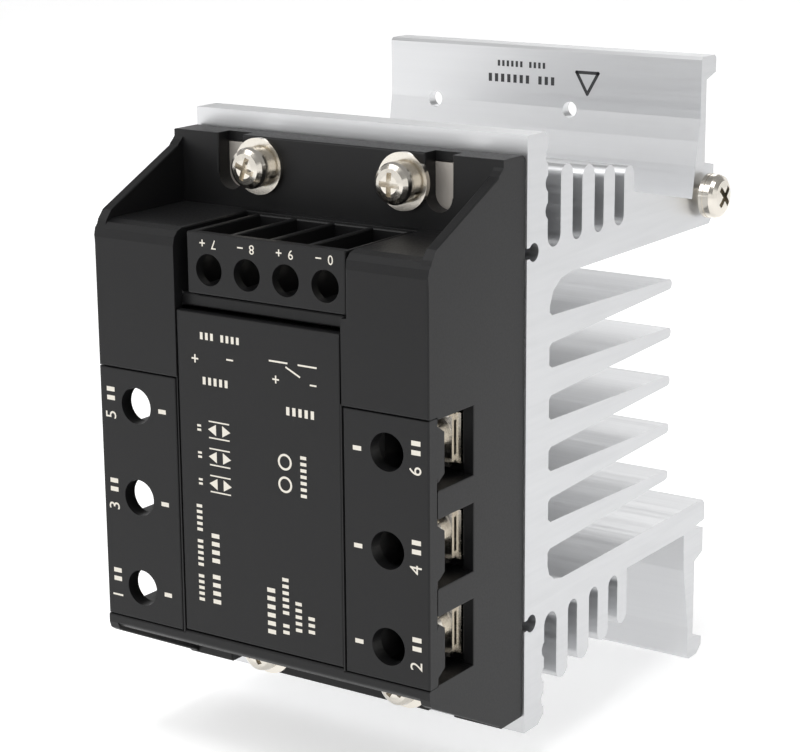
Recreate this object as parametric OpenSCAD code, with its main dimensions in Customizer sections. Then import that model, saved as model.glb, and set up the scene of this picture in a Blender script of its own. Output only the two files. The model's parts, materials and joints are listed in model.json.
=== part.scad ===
// Three-phase solid state relay on an extruded aluminium heatsink.
// Millimetres. X is across the width, the relay faces -Y, Z is up.
// The origin is the middle of the heatsink's rear mounting plane (y = 0).

/* [Heatsink] */
// Length of the extrusion, across the width
sink_w = 72.6; // [40:0.1:120]
// Height of the front plate
plate_h = 110; // [80:1:160]
// Thickness of the front plate behind the teeth
plate_t = 7; // [4:0.1:12]
// Extra thickness of the front plate behind the fins
plate_step = 1; // [0:0.1:3]
// Distance from the rear mounting plane to the front plate's front face
sink_d = 71.3; // [50:0.1:100]
// Height of the rear flange, lip to lip
flange_h = 124; // [100:1:180]
// Reach of the five fins behind the front plate's front face
fin_reach = 54.6; // [30:0.1:62]
// Spacing of the fins
fin_pitch = 9.65; // [7:0.05:10]
// Thickness of a fin at its root
fin_root = 5.1; // [3:0.1:6]
// Thickness of a fin at its tip
fin_tip = 2.0; // [1:0.1:3]
// Diameter of the holes in the rear flange
flange_hole_d = 3.2; // [2:0.1:6]

/* [Relay body] */
// Width of the relay's moulded body
body_w = 71.9; // [40:0.1:119]
// Height of the relay's mounting flange
body_h = 103.5; // [80:0.5:150]
// Thickness of the mounting flange
body_flange = 7.2; // [5:0.1:10]
// Depth of the relay in front of the heatsink
body_d = 30.6; // [28:0.1:40]
// Wall thickness of the side cheeks
cheek = 2; // [1.2:0.1:3]
// Clear gap round the lids and the control block
gap = 0.25; // [0.1:0.05:0.5]

/* [Power terminals] */
// Spacing of the power terminals
term_pitch = 17.4; // [14:0.1:22]
// Height of the middle power terminal above mid-height
term_mid = -12.6; // [-20:0.1:0]
// Distance of the power terminals from the centre plane
term_x = 27.5; // [24:0.1:30]
// Diameter of the screwdriver holes in the terminal covers
driver_hole_d = 6.8; // [5:0.1:9]
// Height of a wire opening
bay_z = 12.4; // [10:0.1:14]
// Radius of the M4 terminal screws
m4_r = 2; // [1.5:0.05:3]
// Diameter of the M4 pan heads
m4_head = 7.4; // [6:0.1:7.8]

/* [Control terminals] */
// Spacing of the control terminals
ctl_pitch = 8.33; // [7:0.01:10]
// Place of the first control terminal across the width
ctl_x0 = -10.2; // [-16:0.1:0]
// Height of the control screws above mid-height
ctl_z = 31.7; // [28:0.1:34]
// Diameter of the holes in the control block
ctl_hole_d = 5.7; // [4:0.1:7]
// Radius of the M3 control screws
m3_r = 1.5; // [1:0.05:2]
// Diameter of the M3 pan heads
m3_head = 5; // [4:0.1:6]

/* [Hidden] */
$fn = 48;
e = 0.01;

// colours
alu = [0.80, 0.81, 0.82];
black = [0.10, 0.10, 0.11];
nickel = [0.78, 0.75, 0.70];
copper = [0.72, 0.55, 0.42];

front = -sink_d;          // front face of the heatsink's front plate
hw = body_w / 2;          // half width of the relay
hh = body_h / 2;          // half height of the relay's flange
body_top = 38.3;          // shelf above the relay's front part
body_bot = -39.1;         // underside of the relay's front part
lid_top = 11.3;           // top of the terminal covers
lid_bot = -36.4;          // bottom of the terminal covers
lid_in = 18.1;            // inner edge of the terminal covers
lid_t = 2.7;              // thickness of the terminal covers
label_top = 24;           // top of the front cover
wall_in = 19.6;           // inner face of the wall beside the terminal bays
bay_in = 21.5;            // inner end of the terminal bays
bay_floor = -15.2;        // seat of the busbars
bus_t = 1.5;              // busbar thickness
bus_front = bay_floor - bus_t;
pad_t = 0.4;              // thermal pad
base_t = 3.5;             // base plate
base_front = -pad_t - base_t;
fix_x = 15.8;             // fixing screws
fix_z = 46.45;
notch_x = 22.8;           // centre of the open notches in the flange
notch_w = 5.6;
notch_z = 44.3;           // centre of the notch's round end
board_back = -11;         // driver board
board_t = 1.6;
clamp_back = bus_front - 0.02;  // power clamps sit tight on the busbars
clamp_front = clamp_back - 2;    // front of the lips along a power clamp's edges
clamp_seat = clamp_back - 1;     // plate face that the screw's head sits on
cell = 7.13;              // clear width of a control compartment
contact_front = -19;      // control contacts
ctl_clamp_back = -20.2;   // control clamps stand open as delivered
ctl_clamp_front = -21.2;
earth_y = -4.5;           // earth screw's axis
earth_z = 34.9;
earth_gap = 1.2;          // gap under the earth washer as delivered
term_zs = [term_mid - term_pitch, term_mid, term_mid + term_pitch];

// a box from corner to corner
module box(x0, y0, z0, x1, y1, z1) translate([x0, y0, z0]) cube([x1 - x0, y1 - y0, z1 - z0]);
// a profile in (y, z) drawn out along X from x0 to x1
module along_x(x0, x1) translate([x0, 0, 0]) rotate([90, 0, 90]) linear_extrude(height = x1 - x0) children();
// a round bar along Y from y0 to y1
module round_y(r, y0, y1) translate([0, y1, 0]) rotate([90, 0, 0]) cylinder(r = r, h = y1 - y0);
// places everything that stands in front of the heatsink
module on_sink() translate([0, front, 0]) children();

// ---- heatsink ----
function tooth(i) = [[11.5, 15.7], [19.1, 23.6], [27.0, 31.1], [34.7, 38.4]][i];
function tooth_end(i) = [48.4, 47.2, 46.0, 44.9][i];
function slot_y(i) = [[plate_t, 11.5], [15.7, 19.1], [23.6, 27.0], [31.1, 34.7]][i];

module teeth() difference() {
    union() {
        along_x(-sink_w / 2, sink_w / 2) translate([plate_t - 1, 28.7]) square([38.4 - plate_t + 1, 8.5]);
        for (i = [0 : 3]) {
            w = tooth(i)[1] - tooth(i)[0];
            along_x(-sink_w / 2, sink_w / 2) translate([tooth(i)[0], 30]) square([w, tooth_end(i) - w / 2 - 30]);
            translate([-sink_w / 2, tooth(i)[0] + w / 2, tooth_end(i) - w / 2]) rotate([0, 90, 0]) cylinder(r = w / 2, h = sink_w);
        }
    }
    for (i = [0 : 3]) {
        w = slot_y(i)[1] - slot_y(i)[0];
        translate([-sink_w, slot_y(i)[0] + w / 2, 34.2 + w / 2]) rotate([0, 90, 0]) cylinder(r = w / 2, h = 2 * sink_w);
        along_x(-sink_w, sink_w) translate([slot_y(i)[0], 34.2 + w / 2]) square([w, 20]);
    }
}

module fin(z) {
    y1 = fin_reach - fin_tip / 2;
    along_x(-sink_w / 2, sink_w / 2)
        polygon([[plate_t - 1, z - fin_root / 2 - 1.4], [plate_t + plate_step, z - fin_root / 2 - 0.6],
                 [plate_t + plate_step + 0.9, z - fin_root / 2], [y1, z - fin_tip / 2],
                 [y1, z + fin_tip / 2], [plate_t + plate_step + 0.9, z + fin_root / 2],
                 [plate_t + plate_step, z + fin_root / 2 + 0.6], [plate_t - 1, z + fin_root / 2 + 1.4]]);
    translate([-sink_w / 2, y1, z]) rotate([0, 90, 0]) cylinder(r = fin_tip / 2, h = sink_w);
}

// the front plate with its raised middle, both webs and both ends of the rear flange, as one outline
module outline_2d() {
    t = plate_h / 2;
    p = plate_t;
    q = plate_t + plate_step;
    f = flange_h / 2;
    polygon([[0, -t], [p - 2, -t], [p, -t + 1.6], [p, -34.2], [38.4, -34.2], [62.3, -34.2],
             [62.6, -42], [63.8, -48.6], [65.1, -55], [65.1, -f + 0.8], [65.9, -f], [69.3, -f],
             [sink_d, -f + 1.6], [sink_d, -f + 3.4], [67.4, -f + 4.6], [67.4, -41.2], [70.9, -39.9],
             [70.9, -34.8], [67.9, -34.4], [67.9, -33.6], [sink_d, -33.2], [sink_d, -29.7], [70.3, -28.7],
             [13.2, -28.7], [10.4, -28.1], [8.7, -26.9], [q, -25],
             [q, 23.6], [9.2, 26.2], [12, 28.0], [16, 28.7],
             [69.9, 28.7], [sink_d, 30.2], [sink_d, 40.4], [67.4, 41.2], [67.4, f - 4.6],
             [sink_d, f - 3.4], [sink_d, f - 0.6], [70.7, f], [65.7, f], [65.1, f - 0.6],
             [65.1, 50], [64.4, 45.6], [63.4, 41], [62.3, 34.7], [38.2, 39.8], [38.2, 34.2], [p, 34.2],
             [p, t - 1.2], [p - 1.2, t], [0, t]]);
}

module heatsink() color(alu) translate([0, front, 0]) difference() {
    union() {
        along_x(-sink_w / 2, sink_w / 2) outline_2d();
        for (k = [-2 : 2]) fin(k * fin_pitch);
        teeth();
        mirror([0, 0, 1]) teeth();
    }
    // shallow grooves down the plate's back, and the two screw channels in its front
    for (z = [40.9, 45.8, 50.6]) for (s = [-1, 1]) translate([-sink_w, plate_t + 0.9, s * z]) rotate([0, 90, 0]) cylinder(r = 1.7, h = 2 * sink_w);
    for (s = [-1, 1]) {
        translate([-sink_w, 2.3, s * 34.3]) rotate([0, 90, 0]) cylinder(r = 1.65, h = 2 * sink_w);
        box(-sink_w, -1, s * 34.3 - 1, sink_w, 2, s * 34.3 + 1);
    }
    // tapped holes for the relay's four fixing screws
    for (sx = [-1, 1]) for (sz = [-1, 1]) translate([sx * fix_x, 0, sz * fix_z]) round_y(m4_r + 0.05, -1, plate_t + 1);
    // holes through the rear flange
    for (x = [-25.2, 7]) for (sz = [-1, 1]) translate([x, 0, sz * 49.8]) round_y(flange_hole_d / 2, 60, 80);
    // tapped hole for the earth screw
    translate([sink_w / 2 - 12, sink_d + earth_y, earth_z]) rotate([0, 90, 0]) cylinder(r = m4_r + 0.05, h = 20);
}

// ---- relay, static pieces ----
module fix_points() for (sx = [-1, 1]) for (sz = [-1, 1]) translate([sx * fix_x, 0, sz * fix_z]) children();

module thermal_pad() color([0.75, 0.75, 0.78]) on_sink() difference() {
    box(-32, -pad_t, -48.8, 32, 0, 48.8);
    fix_points() round_y(2.6, -1, 1);
}

module base_plate() color([0.62, 0.60, 0.57]) on_sink() difference() {
    box(-32.9, base_front, -49.8, 32.9, -pad_t, 49.8);
    fix_points() round_y(m4_r + 0.25, -5, 1);
}

module body_2d() polygon([[-7, body_bot], [-29.6, body_bot], [-body_d, body_bot + 1], [-body_d, body_top - 3.1],
    [-30.2, body_top - 1.5], [-29.2, body_top - 0.5], [-27.6, body_top], [-7, body_top]]);

module cheek_2d() polygon([[0, -hh], [-6.6, -hh], [-7.6, -hh + 0.6], [-29.3, -40.1], [-30.2, -39.4], [-body_d, -38.2],
    [-body_d, 33.2], [-30.2, 35.9], [-29.3, 38.2], [-27.9, 39.8], [-26, 40.8], [-8.8, 49], [-7.7, 49.9],
    [-6.6, 51.1], [-4.8, hh], [-0.8, hh], [0, hh - 0.8]]);

module bay_walls(s) {
    // wire bay, open to the side and to the front, and the slot its busbar comes through
    for (z = term_zs) {
        box(min(s * bay_in, s * 40), -31, z - bay_z / 2, max(s * bay_in, s * 40), bus_front, z + bay_z / 2);
        box(min(s * bay_in, s * 33.7), -31, z - bay_z / 2, max(s * bay_in, s * 33.7), bay_floor, z + bay_z / 2);
        box(min(s * 19, s * 22), bus_front - 0.3, z - 4.75, max(s * 19, s * 22), bay_floor + 0.3, z + 4.75);
    }
}

module housing() color(black) on_sink() difference() {
    union() {
        difference() {
            union() {
                box(-hw, -body_flange, -hh, hw, 0, hh - 0.8);
                box(-hw, -body_flange, hh - 0.9, hw, -0.8, hh);
                along_x(-hw, hw) body_2d();
                along_x(-hw, -hw + cheek) cheek_2d();
                along_x(hw - cheek, hw) cheek_2d();
            }
            // pocket for the base plate
            box(-33.1, base_front, -50, 33.1, 1, 50);
            // middle chamber and the chambers behind and above the wire bays
            box(-wall_in, -28.6, -37.1, wall_in, -3, label_top + 0.4);
            for (s = [-1, 1]) {
                box(min(s * bay_in, s * 33.7), bay_floor + 1.5, -37.1, max(s * bay_in, s * 33.7), -3, 11.4);
                box(min(s * bay_in, s * 33.7), -28.4, 13.4, max(s * bay_in, s * 33.7), -3, 36.1);
            }
        }
        // blind cups that clear the ends of the power screws
        for (s = [-1, 1]) for (z = term_zs) translate([s * term_x, 0, z]) round_y(3.8, bay_floor + 1, -7.4);
        // dividers seen in the gap above the front cover
        for (i = [0 : 2]) box(ctl_x0 + ctl_pitch * (i + 0.5) - 0.4, -29, label_top + 0.4,
                              ctl_x0 + ctl_pitch * (i + 0.5) + 0.4, -25, 26.8);
    }
    for (s = [-1, 1]) for (z = term_zs) translate([s * term_x, 0, z]) round_y(2.6, -20, -8.6);
    bay_walls(-1);
    bay_walls(1);
    // seats of the terminal covers, the front cover and the control block
    box(-40, -32, lid_bot - 0.1, -lid_in + 0.2, -body_d + lid_t, lid_top + 0.15);
    box(lid_in + 0.2, -32, lid_bot - 0.1, 40, -body_d + lid_t, lid_top + 0.15);
    box(-17.65, -32, lid_bot + 0.2, 18.25, -28.4, 26.8);
    box(-17.65, -32, 26.7, 19.4, -9.2, 40);
    // passages for the control contacts
    for (i = [0 : 3]) box(ctl_x0 + ctl_pitch * i - 1.8, contact_front - 0.3, 24, ctl_x0 + ctl_pitch * i + 1.8, contact_front + 1.3, 27);
    // fixing holes and open notches in the flange
    fix_points() round_y(m4_r + 0.25, -9, 1);
    for (sx = [-1, 1]) for (sz = [-1, 1]) {
        translate([sx * notch_x, 0, sz * notch_z]) round_y(notch_w / 2, -9, base_front);
        box(sx * notch_x - notch_w / 2, -9, min(sz * notch_z, sz * 60), sx * notch_x + notch_w / 2, base_front, max(sz * notch_z, sz * 60));
    }
}

module front_cover() color(black) on_sink() difference() {
    union() {
        box(-17.65 + gap, -body_d, lid_bot + 0.2 + gap, 18.25 - gap, -28.7, label_top - 0.05);
        box(-17.2, -28.8, -35.6, 17.2, -25.6, label_top - 0.4);
    }
    box(-16, -28.7, -34.4, 16, -20, label_top - 1.6);
    box(-30, -28.65, -20, 30, -20, 8);
}

module terminal_cover(s) color(black) on_sink() difference() {
    union() {
        box(min(s * (lid_in + (s > 0 ? 0.4 : 0)), s * hw), -body_d, lid_bot, max(s * (lid_in + (s > 0 ? 0.4 : 0)), s * hw),
            -body_d + lid_t, lid_top);
        // a tongue over the outer part of every wire opening, and two snap legs
        for (z = term_zs) translate([0, 0, z])
            along_x(s > 0 ? hw - 1.2 : -hw, s > 0 ? hw : -hw + 1.2)
                polygon([[-28, -4.9], [-25.6, -3.4], [-25.6, 3.6], [-28, 5.1]]);
        for (z = term_zs) box(min(s * (bay_in + 0.3), s * (bay_in + 1.5)), -28, z - 3,
                              max(s * (bay_in + 0.3), s * (bay_in + 1.5)), -24.4, z + 3);
    }
    for (z = term_zs) translate([s * term_x, 0, z]) round_y(driver_hole_d / 2, -32, -27);
}
module line_cover() terminal_cover(-1);
module load_cover() terminal_cover(1);

module control_block() color(black) on_sink() difference() {
    box(-15, -30, 27.2, 19, -9.3, 38.2);
    for (i = [0 : 3]) {
        x = ctl_x0 + ctl_pitch * i;
        box(x - cell / 2, -28.2, 28.4, x + cell / 2, -10.5, 40);
        translate([x, 0, ctl_z]) round_y(ctl_hole_d / 2, -31, -27);
        // slot in the floor for the contact's leg
        box(x - 1.65, contact_front - 0.15, 27, x + 1.65, contact_front + 1.15, 29);
    }
}

// ---- electrics ----
module substrate() color([0.93, 0.93, 0.90]) on_sink() box(-18.4, base_front - 0.7, -36.4, 18.4, base_front, 11.4);
sub_front = base_front - 0.7;

module thyristor(s, i) color([0.45, 0.47, 0.52]) on_sink()
    box(s * 6.5 - 4, sub_front - 0.4, term_zs[i] - 4, s * 6.5 + 4, sub_front, term_zs[i] + 4);

module busbar_2d() polygon([[10.8, sub_front], [10.8, sub_front - 1], [16.4, sub_front - 1], [16.4, bus_front],
    [33.4, bus_front], [33.4, bay_floor], [17.6, bay_floor], [17.6, sub_front]]);

module busbar(s, i) color(copper) on_sink() translate([0, 0, term_zs[i]]) difference() {
    translate([0, 0, -4.5]) linear_extrude(height = 9) scale([s, 1]) busbar_2d();
    translate([s * term_x, 0, 0]) round_y(m4_r + 0.05, -20, -10);
}

module driver_board() color([0.10, 0.35, 0.18]) on_sink() difference() {
    box(-15.2, board_back - board_t, -35.4, 15.2, board_back, 23.8);
    for (s = [-1, 1]) for (z = term_zs) translate([s * 1.2, 0, z + 5.6]) round_y(0.45, -20, -5);
    for (s = [-1, 1]) translate([s * 2.5, 0, 16.5]) round_y(0.45, -20, -5);
}

module opto(i) color([0.92, 0.92, 0.90]) on_sink()
    box(-12.5, board_back - board_t - 3.6, term_zs[i] - 4.5, -6, board_back - board_t, term_zs[i] + 4.5);

module capacitor(i) color([0.20, 0.35, 0.60]) on_sink()
    box(2.6, board_back - board_t - 9.5, term_zs[i] - 3, 14.6, board_back - board_t, term_zs[i] + 3);

module gate_pins() color(nickel) on_sink()
    for (s = [-1, 1]) for (z = term_zs) translate([s * 1.2, 0, z + 5.6]) round_y(0.4, board_back - board_t - 0.8, sub_front);

module thermal_switch() color([0.85, 0.82, 0.74]) on_sink() {
    box(-4.5, base_front - 3.4, 13.2, 4.5, base_front, 19.8);
    for (s = [-1, 1]) translate([s * 2.5, 0, 16.5]) round_y(0.4, board_back - board_t - 0.8, base_front - 3);
}

module potting() color([0.80, 0.84, 0.86]) on_sink() difference() {
    box(-wall_in, -8, -37.1, wall_in, base_front, label_top + 0.4);
    box(-18.4, base_front - 0.7, -36.4, 18.4, base_front + 1, 11.4);
    for (s = [-1, 1]) for (z = term_zs) {
        box(s * 6.5 - 4, sub_front - 0.4, z - 4, s * 6.5 + 4, sub_front + 0.1, z + 4);
        box(min(s * 10.8, s * 17.6), sub_front - 1, z - 4.5, max(s * 10.8, s * 17.6), sub_front + 0.1, z + 4.5);
        box(min(s * 16.4, s * 17.6), -9, z - 4.5, max(s * 16.4, s * 17.6), sub_front + 0.1, z + 4.5);
        translate([s * 1.2, 0, z + 5.6]) round_y(0.4, -9, sub_front + 0.1);
    }
    box(-4.5, base_front - 3.4, 13.2, 4.5, base_front + 1, 19.8);
    for (s = [-1, 1]) translate([s * 2.5, 0, 16.5]) round_y(0.4, -9, -6);
}

module control_contact(i) color(nickel) on_sink() translate([ctl_x0 + ctl_pitch * i, 0, 0]) difference() {
    union() {
        box(-3.2, contact_front, 28.6, 3.2, contact_front + 1, 34.4);
        box(-1.5, contact_front, 21.4, 1.5, contact_front + 1, 29);
        box(-1.5, contact_front, 21.4, 1.5, board_back - board_t, 22.4);
    }
    translate([0, 0, ctl_z]) round_y(m3_r + 0.05, -22, -15);
}

// ---- moving pieces ----
// pan head with a cross recess, underside at y = 0, shank towards +Y
module pan_screw(r, head_r, head_h, length, turn = 45) difference() {
    union() {
        rotate([90, 0, 0]) rotate_extrude() polygon([[0, 0], [head_r, 0], [head_r, head_h * 0.45],
            [head_r * 0.93, head_h * 0.7], [head_r * 0.74, head_h * 0.89], [head_r * 0.45, head_h * 0.985], [0, head_h]]);
        round_y(r, -0.5, length - r * 0.4);
        translate([0, length - r * 0.4 - e, 0]) rotate([-90, 0, 0]) cylinder(r1 = r, r2 = r * 0.6, h = r * 0.4 + e);
    }
    for (a = [turn, turn + 90]) rotate([0, a, 0]) box(-head_r * 0.56, -head_h - 1, -head_r * 0.13, head_r * 0.56, -head_h * 0.42, head_r * 0.13);
}

// thin plate whose upper and lower edges turn forward as lips
module power_clamp(s, i) color(nickel) on_sink() translate([s * term_x, 0, term_zs[i]]) difference() {
    union() {
        box(-4.7, clamp_seat, -4.05, 4.7, clamp_back, 4.05);
        for (z = [-1, 1]) along_x(-4.7, 4.7)
            polygon([[clamp_back, z * 4], [clamp_back - 0.8, z * 4.8], [clamp_front, z * 4.8], [clamp_front, z * 4], [clamp_seat, z * 4]]);
    }
    // shallow wire channel across the underside
    box(-6, clamp_back - 0.35, -3.1, 6, clamp_back + 1, 3.1);
    round_y(m4_r + 0.08, -30, 0);
}

module power_screw(s, i) color(nickel) on_sink() translate([s * term_x, clamp_seat, term_zs[i]])
    pan_screw(m4_r, m4_head / 2, 3, 8);

module control_clamp(i) color(nickel) on_sink() translate([ctl_x0 + ctl_pitch * i, 0, ctl_z]) difference() {
    box(-3.2, ctl_clamp_front, -2.8, 3.2, ctl_clamp_back, 2.8);
    round_y(m3_r + 0.08, -30, 0);
}

module control_screw(i) color(nickel) on_sink() translate([ctl_x0 + ctl_pitch * i, ctl_clamp_front, ctl_z])
    pan_screw(m3_r, m3_head / 2, 2.1, 6.4);

// each screw's recess has come to rest at its own angle
module fixing_screws() color(nickel) on_sink() translate([0, -body_flange - 2.1, 0])
    for (i = [0, 1]) for (j = [0, 1]) translate([(2 * i - 1) * fix_x, 0, (2 * j - 1) * fix_z])
        pan_screw(m4_r, 3.8, 3.1, 14, [[65, 20], [35, 2]][i][j]);
module lock_washers() color(nickel) on_sink() translate([0, -body_flange - 1, 0]) fix_points() difference() {
    round_y(3.55, -1.1, 0);
    round_y(m4_r + 0.1, -3, 1);
    rotate([0, 30, 0]) box(0, -2, -0.3, 6, 1, 0.3);
}
module flat_washers() color(nickel) on_sink() translate([0, -body_flange, 0]) fix_points() difference() {
    round_y(5.2, -1, 0);
    round_y(m4_r + 0.15, -3, 1);
}

module earth_washer() color(nickel) translate([sink_w / 2 + earth_gap, earth_y, earth_z]) rotate([0, 90, 0]) difference() {
    cylinder(r = 4.4, h = 0.8);
    translate([0, 0, -1]) cylinder(r = m4_r + 0.08, h = 3);
}
module earth_screw() color(nickel) translate([sink_w / 2 + earth_gap + 0.8, earth_y, earth_z]) rotate([0, 0, 90])
    pan_screw(m4_r, 4.3, 2.9, 10);

// ---- every node ----
heatsink();
thermal_pad();
base_plate();
housing();
front_cover();
line_cover();
load_cover();
control_block();
potting();
substrate();
thyristor(-1, 0);  // thyristor_1
thyristor(-1, 1);  // thyristor_2
thyristor(-1, 2);  // thyristor_3
thyristor(1, 0);  // thyristor_4
thyristor(1, 1);  // thyristor_5
thyristor(1, 2);  // thyristor_6
busbar(-1, 0);  // busbar_l1
busbar(-1, 1);  // busbar_l2
busbar(-1, 2);  // busbar_l3
busbar(1, 0);  // busbar_t1
busbar(1, 1);  // busbar_t2
busbar(1, 2);  // busbar_t3
driver_board();
opto(0);  // opto_1
opto(1);  // opto_2
opto(2);  // opto_3
capacitor(0);  // capacitor_1
capacitor(1);  // capacitor_2
capacitor(2);  // capacitor_3
gate_pins();
thermal_switch();
control_contact(0);  // control_contact_1
control_contact(1);  // control_contact_2
control_contact(2);  // control_contact_3
control_contact(3);  // control_contact_4
power_clamp(-1, 0);  // clamp_l1
power_clamp(-1, 1);  // clamp_l2
power_clamp(-1, 2);  // clamp_l3
power_clamp(1, 0);  // clamp_t1
power_clamp(1, 1);  // clamp_t2
power_clamp(1, 2);  // clamp_t3
power_screw(-1, 0);  // screw_l1
power_screw(-1, 1);  // screw_l2
power_screw(-1, 2);  // screw_l3
power_screw(1, 0);  // screw_t1
power_screw(1, 1);  // screw_t2
power_screw(1, 2);  // screw_t3
control_clamp(0);  // control_clamp_1
control_clamp(1);  // control_clamp_2
control_clamp(2);  // control_clamp_3
control_clamp(3);  // control_clamp_4
control_screw(0);  // control_screw_1
control_screw(1);  // control_screw_2
control_screw(2);  // control_screw_3
control_screw(3);  // control_screw_4
fixing_screws();
lock_washers();
flat_washers();
earth_washer();
earth_screw();
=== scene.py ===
"""Looks for a three-phase solid state relay on its extruded heatsink.

Every rigid shape comes with the part, in metres. This script dresses each node in its
finish, stands softened copies in for the mouldings, prints the markings and lights it all.
"""

import json
import logging
import math
from dataclasses import dataclass, field
from enum import Enum
from typing import Any, Iterable

import bmesh
import bpy
from mathutils import Matrix, Vector
from mathutils.bvhtree import BVHTree

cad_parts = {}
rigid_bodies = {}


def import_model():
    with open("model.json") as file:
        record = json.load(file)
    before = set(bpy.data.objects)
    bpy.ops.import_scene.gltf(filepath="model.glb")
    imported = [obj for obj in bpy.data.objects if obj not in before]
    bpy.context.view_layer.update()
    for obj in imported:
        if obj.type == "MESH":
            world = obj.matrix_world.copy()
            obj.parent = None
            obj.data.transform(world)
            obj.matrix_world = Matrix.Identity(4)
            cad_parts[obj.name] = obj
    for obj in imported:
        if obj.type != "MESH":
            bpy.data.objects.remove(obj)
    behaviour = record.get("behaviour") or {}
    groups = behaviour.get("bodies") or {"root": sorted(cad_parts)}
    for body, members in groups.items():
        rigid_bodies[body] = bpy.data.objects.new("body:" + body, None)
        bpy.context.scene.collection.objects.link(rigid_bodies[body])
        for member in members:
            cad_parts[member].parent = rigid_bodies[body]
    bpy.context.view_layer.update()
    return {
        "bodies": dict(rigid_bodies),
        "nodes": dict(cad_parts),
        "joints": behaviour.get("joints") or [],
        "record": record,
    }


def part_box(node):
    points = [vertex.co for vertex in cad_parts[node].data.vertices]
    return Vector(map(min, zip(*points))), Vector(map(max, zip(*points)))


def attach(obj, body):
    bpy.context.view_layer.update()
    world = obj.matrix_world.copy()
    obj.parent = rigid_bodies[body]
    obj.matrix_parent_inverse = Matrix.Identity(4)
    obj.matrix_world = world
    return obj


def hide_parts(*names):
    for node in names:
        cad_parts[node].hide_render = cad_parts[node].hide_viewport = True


LOG = logging.getLogger("relay")
MM = 0.001
BODY = "relay"
SINK_FRONT = -71.3                 # front face of the heatsink's front plate, mm
FACE = SINK_FRONT - 30.6           # front face of the relay, mm
CONTROL_FACE = SINK_FRONT - 30.0   # front face of the control block, mm
FLANGE_FACE = -6.2                 # front face of the rear flange, mm
FLOOR_Z = -62.0                    # underside of the rear flange, mm
INK_PROUD = 0.02                   # how far printing stands off its surface, mm
TERMINAL_X = 27.5                  # power terminals, from the middle, mm
TERMINAL_Z = (-30.0, -12.6, 4.8)   # power terminals, lowest first, mm
CONTROL_X = tuple(-10.2 + 8.33 * i for i in range(4))  # control terminals, mm
MOULDINGS = ("housing", "front_cover", "line_cover", "load_cover", "control_block")


class Slot(Enum):
    """The part's material slots that this script dresses."""

    ALUMINIUM = "extruded_aluminium"
    THERMAL = "thermal_sheet"
    BASE = "base_metal"
    MOULDING = "black_moulding"
    GEL = "clear_gel"
    CERAMIC = "ceramic_plate"
    SILICON = "silicon_die"
    TIN = "tinned_copper"
    BOARD = "circuit_board"
    WHITE_PACKAGE = "white_package"
    BLUE_FILM = "blue_film"
    RESIN = "brown_resin"
    NICKEL = "nickel_plate"
    WHITE_INK = "white_print"
    DARK_INK = "dark_print"


class Reading(Enum):
    """Which way a marking reads, as a turn in degrees on the relay's face."""

    LEVEL = 0.0
    UPWARD = 90.0
    INVERTED = 180.0


class Nodes:
    """Short calls for building one material's node tree."""

    def __init__(self, name: str) -> None:
        """Starts a material with a shader and object coordinates.

        Args:
            name: the material's name.
        """
        self.material = bpy.data.materials.new(name)
        self.material.use_nodes = True
        self.tree = self.material.node_tree
        self.shader = self.tree.nodes["Principled BSDF"]
        self.coordinates = self.tree.nodes.new("ShaderNodeTexCoord")

    def add(self, kind: str, **settings: Any) -> bpy.types.Node:
        """Adds a node and sets its properties.

        Args:
            kind: the node's type name.
            settings: properties to set on it.

        Returns:
            The new node.
        """
        node = self.tree.nodes.new(kind)
        for key, value in settings.items():
            setattr(node, key, value)
        return node

    def link(self, source: bpy.types.NodeSocket, target: bpy.types.NodeSocket) -> None:
        """Joins two sockets."""
        self.tree.links.new(source, target)

    def noise(self, scale: float, stretch: tuple[float, float, float] = (1, 1, 1),
              detail: float = 3.0) -> bpy.types.NodeSocket:
        """Adds noise on object coordinates.

        Args:
            scale: how many features to a metre.
            stretch: factors on the three coordinates.
            detail: octaves of the noise.

        Returns:
            The noise's value socket.
        """
        mapping = self.add("ShaderNodeMapping")
        mapping.inputs["Scale"].default_value = stretch
        self.link(self.coordinates.outputs["Object"], mapping.inputs["Vector"])
        noise = self.add("ShaderNodeTexNoise")
        noise.inputs["Scale"].default_value = scale
        noise.inputs["Detail"].default_value = detail
        self.link(mapping.outputs["Vector"], noise.inputs["Vector"])
        return noise.outputs["Fac"]

    def ramp(self, value: bpy.types.NodeSocket, low: float, high: float) -> bpy.types.NodeSocket:
        """Spreads a 0 to 1 value over a range.

        Args:
            value: the socket to read.
            low: the result at 0.3.
            high: the result at 0.7.

        Returns:
            The result socket.
        """
        node = self.add("ShaderNodeMapRange")
        node.inputs["From Min"].default_value = 0.3
        node.inputs["From Max"].default_value = 0.7
        node.inputs["To Min"].default_value = low
        node.inputs["To Max"].default_value = high
        self.link(value, node.inputs["Value"])
        return node.outputs["Result"]

    def tint(self, value: bpy.types.NodeSocket, dark: tuple[float, ...],
             light: tuple[float, ...]) -> bpy.types.NodeSocket:
        """Mixes two colours by a value.

        Args:
            value: the socket that chooses.
            dark: the colour at 0.
            light: the colour at 1.

        Returns:
            The colour socket.
        """
        mix = self.add("ShaderNodeMix", data_type="RGBA")
        mix.inputs[6].default_value = (*dark, 1.0)
        mix.inputs[7].default_value = (*light, 1.0)
        self.link(value, mix.inputs[0])
        return mix.outputs[2]

    def bump(self, height: bpy.types.NodeSocket, strength: float, depth: float) -> None:
        """Drives the shader's normal.

        Args:
            height: the height socket.
            strength: 0 to 1.
            depth: height of the relief in metres.
        """
        bump = self.add("ShaderNodeBump")
        bump.inputs["Strength"].default_value = strength
        bump.inputs["Distance"].default_value = depth
        self.link(height, bump.inputs["Height"])
        self.link(bump.outputs["Normal"], self.shader.inputs["Normal"])


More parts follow.
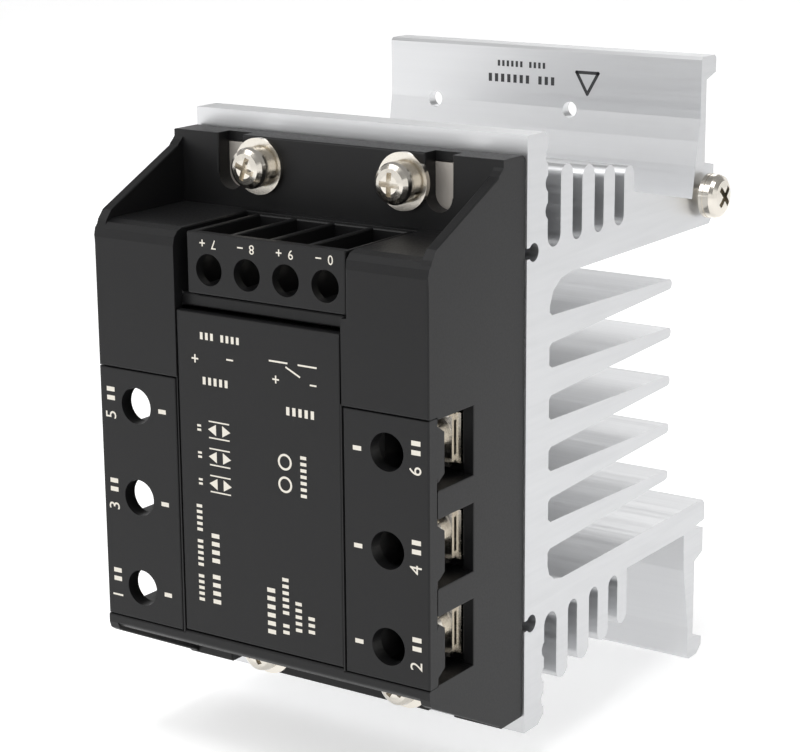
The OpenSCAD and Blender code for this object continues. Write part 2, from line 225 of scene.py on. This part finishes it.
@dataclass(frozen=True)
class Finish:
    """A surface with a fine grain, a slow drift in tone and its own gloss."""

    name: str
    colour: tuple[float, float, float]
    roughness: float
    metallic: float = 0.0
    tone_spread: float = 0.06
    gloss_spread: float = 0.04
    grain_per_metre: float = 2500.0
    grain_strength: float = 0.08
    grain_depth: float = 0.04 * MM
    clear_coat: float = 0.0
    transmission: float = 0.0
    specular: float = 0.5

    def build(self) -> bpy.types.Material:
        """Makes the material.

        Returns:
            The finished material.
        """
        nodes = Nodes(self.name)
        drift = nodes.noise(45.0, detail=2.0)
        dark = tuple(c * (1 - self.tone_spread) for c in self.colour)
        light = tuple(min(1.0, c * (1 + self.tone_spread)) for c in self.colour)
        nodes.link(nodes.tint(drift, dark, light), nodes.shader.inputs["Base Color"])
        nodes.shader.inputs["Metallic"].default_value = self.metallic
        nodes.shader.inputs["Coat Weight"].default_value = self.clear_coat
        nodes.shader.inputs["Specular IOR Level"].default_value = self.specular
        nodes.shader.inputs["Transmission Weight"].default_value = self.transmission
        grain = nodes.noise(self.grain_per_metre)
        nodes.link(nodes.ramp(grain, self.roughness - self.gloss_spread,
                              self.roughness + self.gloss_spread),
                   nodes.shader.inputs["Roughness"])
        nodes.bump(grain, self.grain_strength, self.grain_depth)
        return nodes.material


@dataclass(frozen=True)
class ExtrudedAluminium:
    """Satin extrusion: die lines run along X, and the cut ends show saw marks."""

    half_width: float
    name: str = "extruded_aluminium_satin"
    colour: tuple[float, float, float] = (0.72, 0.725, 0.735)
    cut_colour: tuple[float, float, float] = (0.63, 0.635, 0.645)
    cut_depth: float = 0.02 * MM  # how near the end a point counts as cut
    roughness: float = 0.40
    gloss_spread: float = 0.07
    relief_strength: float = 0.12
    relief_depth: float = 0.05 * MM

    def build(self) -> bpy.types.Material:
        """Makes the material.

        Returns:
            The finished material.
        """
        nodes = Nodes(self.name)
        die_lines = nodes.noise(1400.0, (0.012, 1.0, 1.0), 4.0)
        saw_marks = nodes.noise(1100.0, (1.0, 0.05, 1.0), 3.0)
        split = nodes.add("ShaderNodeSeparateXYZ")
        nodes.link(nodes.coordinates.outputs["Object"], split.inputs["Vector"])
        sideways = nodes.add("ShaderNodeMath", operation="ABSOLUTE")
        nodes.link(split.outputs["X"], sideways.inputs[0])
        is_cut = nodes.add("ShaderNodeMath", operation="GREATER_THAN")
        is_cut.inputs[1].default_value = self.half_width - self.cut_depth
        nodes.link(sideways.outputs[0], is_cut.inputs[0])
        relief = nodes.add("ShaderNodeMix", data_type="FLOAT")
        nodes.link(is_cut.outputs[0], relief.inputs[0])
        nodes.link(die_lines, relief.inputs[2])
        nodes.link(saw_marks, relief.inputs[3])
        nodes.link(nodes.tint(is_cut.outputs[0], self.colour, self.cut_colour),
                   nodes.shader.inputs["Base Color"])
        nodes.shader.inputs["Metallic"].default_value = 1.0
        nodes.link(nodes.ramp(relief.outputs[0], self.roughness - self.gloss_spread,
                              self.roughness + self.gloss_spread),
                   nodes.shader.inputs["Roughness"])
        nodes.bump(relief.outputs[0], self.relief_strength, self.relief_depth)
        return nodes.material


FINISHES: dict[Slot, Any] = {
    Slot.THERMAL: Finish("thermal_sheet_grey", (0.36, 0.37, 0.40), 0.75),
    Slot.BASE: Finish("base_metal_dull", (0.62, 0.58, 0.53), 0.50, metallic=0.55,
                      grain_per_metre=1500.0, grain_strength=0.15),
    Slot.MOULDING: Finish("black_moulding_satin", (0.0070, 0.0070, 0.0075), 0.42, tone_spread=0.10,
                          gloss_spread=0.05, grain_strength=0.14, specular=0.29),
    Slot.GEL: Finish("clear_gel_soft", (0.72, 0.76, 0.78), 0.15, transmission=0.8),
    Slot.CERAMIC: Finish("ceramic_plate_matt", (0.86, 0.86, 0.82), 0.55),
    Slot.SILICON: Finish("silicon_die_polished", (0.16, 0.17, 0.22), 0.12, metallic=0.6),
    # Colour set darker than clean tin: painted shade of the recessed terminal bays that hold these
    # parts.
    Slot.TIN: Finish("tinned_copper_bright", (0.56, 0.52, 0.45), 0.24, metallic=1.0,
                     grain_strength=0.03),
    Slot.BOARD: Finish("circuit_board_green", (0.015, 0.11, 0.04), 0.35, clear_coat=0.4),
    Slot.WHITE_PACKAGE: Finish("white_package_matt", (0.80, 0.80, 0.76), 0.5),
    Slot.BLUE_FILM: Finish("blue_film_gloss", (0.03, 0.07, 0.28), 0.2, clear_coat=0.5),
    Slot.RESIN: Finish("brown_resin_matt", (0.14, 0.07, 0.04), 0.5),
    Slot.NICKEL: Finish("nickel_plate_bright", (0.74, 0.70, 0.63), 0.20, metallic=1.0,
                        grain_per_metre=1800.0, grain_strength=0.10),
    Slot.WHITE_INK: Finish("white_print_cream", (0.74, 0.70, 0.62), 0.55),
    Slot.DARK_INK: Finish("dark_print_grey", (0.035, 0.035, 0.038), 0.55),
}


def put_in_order(mesh: bmesh.types.BMesh) -> None:
    """Sorts corners, edges and faces by where they are, so every run lists them alike.

    Args:
        mesh: the bmesh.
    """
    by_place = sorted(mesh.verts, key=lambda vert: vert.co.to_tuple())
    for place, vert in enumerate(by_place):
        vert.index = place
    mesh.verts.sort()
    for parts in (mesh.edges, mesh.faces):
        by_corners = sorted(parts, key=lambda part: sorted(vert.index for vert in part.verts))
        for place, part in enumerate(by_corners):
            part.index = place
        parts.sort()


def new_object(name: str, mesh: bmesh.types.BMesh) -> bpy.types.Object:
    """Turns a bmesh into an object at the origin.

    Args:
        name: the object's name.
        mesh: the bmesh, which is freed.

    Returns:
        The linked object.
    """
    data = bpy.data.meshes.new(name)
    bmesh.ops.recalc_face_normals(mesh, faces=mesh.faces)
    put_in_order(mesh)
    mesh.to_mesh(data)
    mesh.free()
    made = bpy.data.objects.new(name, data)
    bpy.context.scene.collection.objects.link(made)
    return made


@dataclass
class FrameDresser:
    """Gives every node its finish."""

    frame: dict[str, Any]
    materials: dict[Slot, bpy.types.Material] = field(default_factory=dict)

    def build(self) -> None:
        """Makes all the materials and puts them on the nodes."""
        half_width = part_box("heatsink")[1][0]
        self.materials[Slot.ALUMINIUM] = ExtrudedAluminium(half_width).build()
        for slot, finish in FINISHES.items():
            self.materials[slot] = finish.build()
        slots = {row["node"]: row["material_slot"] for row in self.frame["record"]["subparts"]}
        for node, made in self.frame["nodes"].items():
            material = self.materials[Slot(slots[node])]
            made.data.materials.clear()
            made.data.materials.append(material)
            LOG.info("dressed %s in %s", node, material.name)


@dataclass
class SoftenedMoulding:
    """A copy of a moulded node with its long outer edges rounded as a mould leaves them."""

    node: str
    source: bpy.types.Object
    material: bpy.types.Material
    radius: float = 0.30 * MM
    most_strayed: float = 0.45 * MM
    shortest_edge: float = 6.0 * MM
    flat_angle: float = math.radians(2)
    edge_angle: float = math.radians(32)
    most_warped: float = math.radians(0.5)

    def build(self) -> bpy.types.Object | None:
        """Makes the copy and stands it in for the node.

        Returns:
            The new piece, or None where the node is kept as it is.
        """
        mesh = bmesh.new()
        mesh.from_mesh(self.source.data)
        bmesh.ops.remove_doubles(mesh, verts=mesh.verts, dist=0.002 * MM)
        true_shape = BVHTree.FromBMesh(mesh)
        bmesh.ops.dissolve_limit(mesh, angle_limit=self.flat_angle, verts=mesh.verts,
                                 edges=mesh.edges, use_dissolve_boundaries=False)
        bmesh.ops.connect_verts_concave(mesh, faces=mesh.faces)
        bmesh.ops.bevel(mesh, geom=self._outer_edges(mesh), offset=self.radius,
                        offset_type="OFFSET", segments=2, profile=0.5, affect="EDGES",
                        clamp_overlap=False, material=-1, loop_slide=True)
        bmesh.ops.connect_verts_nonplanar(mesh, angle_limit=self.most_warped, faces=mesh.faces)
        strayed = self._furthest(mesh, true_shape)
        if strayed > self.most_strayed:
            LOG.warning("kept %s: its rounded copy strays %.2f mm", self.node, strayed / MM)
            mesh.free()
            return None
        piece = new_object(self.node + "_moulded", mesh)
        piece.data.materials.append(self.material)
        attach(piece, BODY)
        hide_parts(self.node)
        LOG.info("softened %s, within %.2f mm of its shape", self.node, strayed / MM)
        return piece

    def _outer_edges(self, mesh: bmesh.types.BMesh) -> list[bmesh.types.BMEdge]:
        """Finds the long, sharp, outward edges.

        Args:
            mesh: the copy.

        Returns:
            The edges to round.
        """
        return [edge for edge in mesh.edges
                if len(edge.link_faces) == 2 and edge.is_convex
                and edge.calc_face_angle(0.0) > self.edge_angle
                and edge.calc_length() > self.shortest_edge]

    @staticmethod
    def _furthest(mesh: bmesh.types.BMesh, true_shape: BVHTree) -> float:
        """Measures how far the copy's triangles stray from the node's surface.

        Args:
            mesh: the rounded copy.
            true_shape: the node's own surface.

        Returns:
            The largest distance in metres.
        """
        worst = 0.0
        for triangle in mesh.calc_loop_triangles():
            corners = [loop.vert.co for loop in triangle]
            for share in ((1 / 3, 1 / 3, 1 / 3), (0.5, 0.5, 0.0), (0.0, 0.5, 0.5), (0.5, 0.0, 0.5)):
                point = sum((c * w for c, w in zip(corners, share)), Vector())
                worst = max(worst, true_shape.find_nearest(point)[3])
        return worst


@dataclass
class Printing:
    """Flat marks on one face that looks along -Y, gathered in one mesh."""

    name: str
    face_y: float
    material: bpy.types.Material
    slot: Slot
    mesh: bmesh.types.BMesh = field(default_factory=bmesh.new)

    def _place(self, verts: Iterable[Any], x: float, z: float, turn: float,
               scale: tuple[float, float] = (1.0, 1.0)) -> None:
        """Scales, turns and moves flat vertices drawn about the origin, in mm."""
        matrix = (Matrix.Translation(Vector((x, z, 0.0)))
                  @ Matrix.Rotation(math.radians(turn), 4, "Z")
                  @ Matrix.Diagonal((scale[0], scale[1], 1.0, 1.0)))
        bmesh.ops.transform(self.mesh, matrix=matrix, verts=list(verts))

    def bar(self, x: float, z: float, width: float, height: float, turn: float = 0.0) -> None:
        """Draws a rectangle about (x, z)."""
        made = bmesh.ops.create_grid(self.mesh, x_segments=1, y_segments=1, size=0.5)
        self._place(made["verts"], x, z, turn, (width, height))

    def triangle(self, x: float, z: float, radius: float, turn: float) -> None:
        """Draws a filled triangle about (x, z)."""
        made = bmesh.ops.create_circle(self.mesh, segments=3, radius=radius, cap_ends=True)
        self._place(made["verts"], x, z, turn)

    def frame_triangle(self, x: float, z: float, radius: float, stroke: float) -> None:
        """Draws an outlined triangle, point down, about (x, z)."""
        side = radius * math.sqrt(3)
        inner = radius / 2 - stroke / 2
        for turn in (0.0, 120.0, 240.0):
            away = math.radians(turn + 90.0)
            self.bar(x + inner * math.cos(away), z + inner * math.sin(away),
                     side - stroke, stroke, turn)

    def ring(self, x: float, z: float, radius: float, stroke: float) -> None:
        """Draws a ring about (x, z)."""
        made = bmesh.ops.create_circle(self.mesh, segments=24, radius=radius)
        edges = list({e for v in made["verts"] for e in v.link_edges})
        grown = bmesh.ops.extrude_edge_only(self.mesh, edges=edges)
        inner = [g for g in grown["geom"] if isinstance(g, bmesh.types.BMVert)]
        bmesh.ops.scale(self.mesh, vec=Vector.Fill(3, 1 - stroke / radius), verts=inner)
        self._place(made["verts"] + inner, x, z, 0.0)

    def plus(self, x: float, z: float, size: float) -> None:
        """Draws a plus sign about (x, z)."""
        self.bar(x, z, size, size * 0.2)
        self.bar(x, z + size * 0.3, size * 0.2, size * 0.4)
        self.bar(x, z - size * 0.3, size * 0.2, size * 0.4)

    def minus(self, x: float, z: float, size: float) -> None:
        """Draws a minus sign about (x, z)."""
        self.bar(x, z, size, size * 0.2)

    def digit(self, text: str, x: float, z: float, height: float, reading: Reading) -> None:
        """Draws a number about (x, z).

        Args:
            text: the digits.
            x: middle, mm.
            z: middle, mm.
            height: size of the type, mm.
            reading: which way it reads.
        """
        curve = bpy.data.curves.new("digit", "FONT")
        curve.body = text
        curve.size = height * 1.4
        curve.align_x = "CENTER"
        curve.align_y = "CENTER"
        curve.resolution_u = 3
        holder = bpy.data.objects.new("digit", curve)
        bpy.context.scene.collection.objects.link(holder)
        bpy.context.view_layer.update()
        flat = bpy.data.meshes.new_from_object(holder)
        known = set(self.mesh.verts)
        self.mesh.from_mesh(flat)
        self._place([v for v in self.mesh.verts if v not in known], x, z, reading.value)
        bpy.data.objects.remove(holder)
        bpy.data.meshes.remove(flat)
        bpy.data.curves.remove(curve)

    def words(self, x: float, z: float, lengths: tuple[int, ...], height: float,
              reading: Reading) -> None:
        """Draws a line of plain blocks, one for each character of made-up words.

        Args:
            x: middle of the line, mm.
            z: middle of the line, mm.
            lengths: how many blocks each word has.
            height: height of a block, mm.
            reading: which way the line reads.
        """
        step = height * 0.82
        total = (sum(lengths) + len(lengths) - 1) * step
        turn = math.radians(reading.value)
        along = Vector((math.cos(turn), math.sin(turn)))
        place = -total / 2 + step / 2
        for length in lengths:
            for _ in range(length):
                self.bar(x + along.x * place, z + along.y * place,
                         step * 0.52, height * 0.92, reading.value)
                place += step
            place += step

    def finish(self) -> bpy.types.Object:
        """Gives the marks their thickness and puts them on the face.

        Returns:
            The new piece.
        """
        bmesh.ops.recalc_face_normals(self.mesh, faces=self.mesh.faces)
        grown = bmesh.ops.extrude_face_region(self.mesh, geom=list(self.mesh.faces))
        top = [g for g in grown["geom"] if isinstance(g, bmesh.types.BMVert)]
        bmesh.ops.translate(self.mesh, vec=Vector((0, 0, 2 * INK_PROUD)), verts=top)
        matrix = (Matrix.Diagonal((MM, MM, MM, 1.0))
                  @ Matrix.Translation(Vector((0, self.face_y + INK_PROUD, 0)))
                  @ Matrix.Rotation(math.radians(90), 4, "X"))
        bmesh.ops.transform(self.mesh, matrix=matrix, verts=self.mesh.verts)
        piece = new_object(self.name, self.mesh)
        piece.data.materials.append(self.material)
        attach(piece, BODY)
        LOG.info("printed %s", self.name)
        return piece


@dataclass
class FrontMarkings:
    """Generic terminal numbers, signs and blocks in place of wording."""

    material: bpy.types.Material
    type_height: float = 2.5
    small_height: float = 1.7

    def build(self) -> None:
        """Prints the power and control terminals and the front cover."""
        self._power_terminals()
        self._control_terminals()
        self._cover()

    def _power_terminals(self) -> None:
        """Numbers the six power terminals, with a short bar for each pair of letters."""
        ink = Printing("power_terminal_markings", FACE, self.material, Slot.WHITE_INK)
        for side in (-1, 1):
            for row, z in enumerate(TERMINAL_Z):
                number = 2 * row + (1 if side < 0 else 2)
                x = side * (TERMINAL_X + 5.9)
                ink.digit(str(number), x, z - 2.4, self.type_height, Reading.UPWARD)
                ink.words(x, z + 1.6, (2,), self.type_height * 0.8, Reading.UPWARD)
                ink.words(side * (TERMINAL_X - 6.1), z - 0.2, (1,), self.type_height * 0.75,
                          Reading.UPWARD)
        ink.finish()

    def _control_terminals(self) -> None:
        """Numbers the control terminals upside down, with a sign beside each number."""
        ink = Printing("control_terminal_markings", CONTROL_FACE, self.material,
                       Slot.WHITE_INK)
        for index, x in enumerate(CONTROL_X):
            ink.digit(str((7 + index) % 10), x + 1.2, 36.4, self.small_height, Reading.INVERTED)
            if index % 2 == 0:
                ink.plus(x - 1.3, 36.4, 1.2)
            else:
                ink.minus(x - 1.3, 36.4, 1.2)
        ink.finish()

    def _cover(self) -> None:
        """Prints the front cover's blocks and plain circuit signs."""
        ink = Printing("front_cover_markings", FACE, self.material, Slot.WHITE_INK)
        up, over = Reading.UPWARD, Reading.INVERTED
        ink.words(-13.4, -20.5, (5, 5, 5), 1.35, up)
        ink.words(-9.9, -23.0, (4, 4), 1.9, up)
        ink.words(2.4, -28.5, (6,), 1.9, up)
        ink.words(5.6, -27.0, (2, 6), 1.5, up)
        ink.words(8.4, -28.5, (5,), 1.5, up)
        ink.words(11.2, -29.5, (3,), 1.5, up)
        for row in range(3):
            z = -7.0 + 5.0 * row
            ink.triangle(-9.7, z, 1.2, 90.0)
            ink.triangle(-7.1, z, 1.2, 270.0)
            ink.bar(-8.4, z + 1.5, 4.6, 0.25)
            ink.bar(-8.4, z - 1.5, 4.6, 0.25)
            ink.words(-12.9, z, (2,), 0.95, up)
        ink.ring(6.0, -4.5, 1.5, 0.4)
        ink.ring(6.0, -0.4, 1.5, 0.4)
        ink.words(10.0, -2.5, (7,), 1.4, up)
        ink.words(-9.0, 11.8, (5,), 1.5, over)
        ink.words(9.5, 8.9, (5,), 1.6, over)
        ink.words(-7.8, 19.9, (4, 3), 1.4, over)
        ink.plus(-13.4, 15.6, 1.5)
        ink.minus(-5.6, 16.3, 1.5)
        ink.bar(5.0, 17.4, 4.0, 0.3)
        ink.bar(11.2, 17.4, 4.0, 0.3)
        ink.bar(8.1, 16.0, 3.4, 0.3, -25.0)
        ink.plus(4.4, 14.2, 1.4)
        ink.minus(12.4, 14.2, 1.4)
        ink.finish()


@dataclass
class FlangeMarkings:
    """A plain triangle and a block of bars on the rear flange's front face."""

    material: bpy.types.Material

    def build(self) -> None:
        """Prints the triangle and the bars."""
        ink = Printing("flange_markings", FLANGE_FACE, self.material, Slot.DARK_INK)
        ink.frame_triangle(11.0, 56.0, 3.5, 0.65)
        ink.words(-4.4, 58.2, (4, 6), 1.3, Reading.INVERTED)
        ink.words(-4.4, 55.2, (3, 7), 1.8, Reading.INVERTED)
        ink.finish()


@dataclass(frozen=True)
class Lamp:
    """A soft square lamp that looks at the part."""

    name: str
    place: tuple[float, float, float]
    size: float
    power: float

    def hang(self) -> None:
        """Adds the lamp to the scene."""
        light = bpy.data.lights.new(self.name, "AREA")
        light.size = self.size
        light.energy = self.power
        holder = bpy.data.objects.new(self.name, light)
        holder.location = self.place
        holder.rotation_euler = (-Vector(self.place)).to_track_quat("-Z", "Y").to_euler()
        bpy.context.scene.collection.objects.link(holder)


LAMPS = (
    Lamp("key", (-0.55, -0.70, 0.80), 0.6, 3.0),
    Lamp("side", (0.95, -0.45, 0.55), 0.6, 0.25),
    Lamp("top", (0.05, -0.35, 1.0), 0.5, 4.6),
    Lamp("rim", (-0.50, 1.20, 0.75), 0.5, 1.2),
)


@dataclass
class Studio:
    """A pale floor, soft lights and the camera."""

    camera_place: tuple[float, float, float] = (0.2380, -0.4073, 0.1132)
    camera_target: tuple[float, float, float] = (-0.0074, -0.0461, 0.0005)
    camera_roll: float = -0.43
    camera_shift: tuple[float, float] = (-0.00125, 0.00375)
    lens: float = 103.5
    surround: float = 0.34
    floor_glow: float = 0.50
    floor_radius: float = 2.2
    sweep_radius: float = 1.2

    def build(self) -> None:
        """Makes the whole setting."""
        self._floor()
        self._world()
        for lamp in LAMPS:
            lamp.hang()
        self._camera()
        bpy.context.scene.view_settings.view_transform = "Standard"

    def _floor(self) -> None:
        """Lays a round pale floor that sweeps up at its rim, so no edge shows from any side."""
        mesh = bmesh.new()
        rim = [(self.floor_radius + self.sweep_radius * math.sin(math.radians(turn)),
                self.sweep_radius * (1 - math.cos(math.radians(turn)))) for turn in range(0, 91, 9)]
        profile = [mesh.verts.new((x, 0, z + FLOOR_Z * MM)) for x, z in [(0.0, 0.0), *rim]]
        edges = [mesh.edges.new(pair) for pair in zip(profile, profile[1:])]
        bmesh.ops.spin(mesh, geom=[*profile, *edges], axis=(0, 0, 1), cent=(0, 0, 0),
                       angle=math.tau, steps=72, use_merge=True)
        bmesh.ops.remove_doubles(mesh, verts=mesh.verts, dist=MM)
        for face in mesh.faces:
            face.smooth = True
        floor = new_object("studio_floor", mesh)
        paint = Finish("studio_floor_pale", (0.88, 0.88, 0.88), 0.8, tone_spread=0.005,
                       grain_strength=0.0).build()
        shader = paint.node_tree.nodes["Principled BSDF"]
        shader.inputs["Emission Color"].default_value = (1.0, 1.0, 1.0, 1.0)
        shader.inputs["Emission Strength"].default_value = self.floor_glow
        floor.data.materials.append(paint)

    def _world(self) -> None:
        """Sets an even pale surround."""
        world = bpy.data.worlds.new("surround")
        world.use_nodes = True
        background = world.node_tree.nodes["Background"]
        background.inputs["Color"].default_value = (1.0, 1.0, 1.0, 1.0)
        background.inputs["Strength"].default_value = self.surround
        bpy.context.scene.world = world

    def _camera(self) -> None:
        """Sets the camera."""
        data = bpy.data.cameras.new("view")
        data.sensor_width = 36.0
        data.lens = self.lens
        data.clip_start = 0.01
        data.shift_x, data.shift_y = self.camera_shift
        holder = bpy.data.objects.new("view", data)
        holder.location = self.camera_place
        look = Vector(self.camera_target) - Vector(self.camera_place)
        turn = look.to_track_quat("-Z", "Y").to_matrix().to_4x4()
        roll = Matrix.Rotation(math.radians(self.camera_roll), 4, "Z")
        holder.rotation_euler = (turn @ roll).to_euler()
        bpy.context.scene.collection.objects.link(holder)
        bpy.context.scene.camera = holder


def main() -> None:
    """Builds the looks around the part."""
    logging.basicConfig(level=logging.INFO, format="%(name)s: %(message)s")
    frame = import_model()
    dresser = FrameDresser(frame)
    dresser.build()
    for node in MOULDINGS:
        SoftenedMoulding(node, frame["nodes"][node], dresser.materials[Slot.MOULDING]).build()
    FrontMarkings(dresser.materials[Slot.WHITE_INK]).build()
    FlangeMarkings(dresser.materials[Slot.DARK_INK]).build()
    Studio().build()


if __name__ == "__main__":
    main()
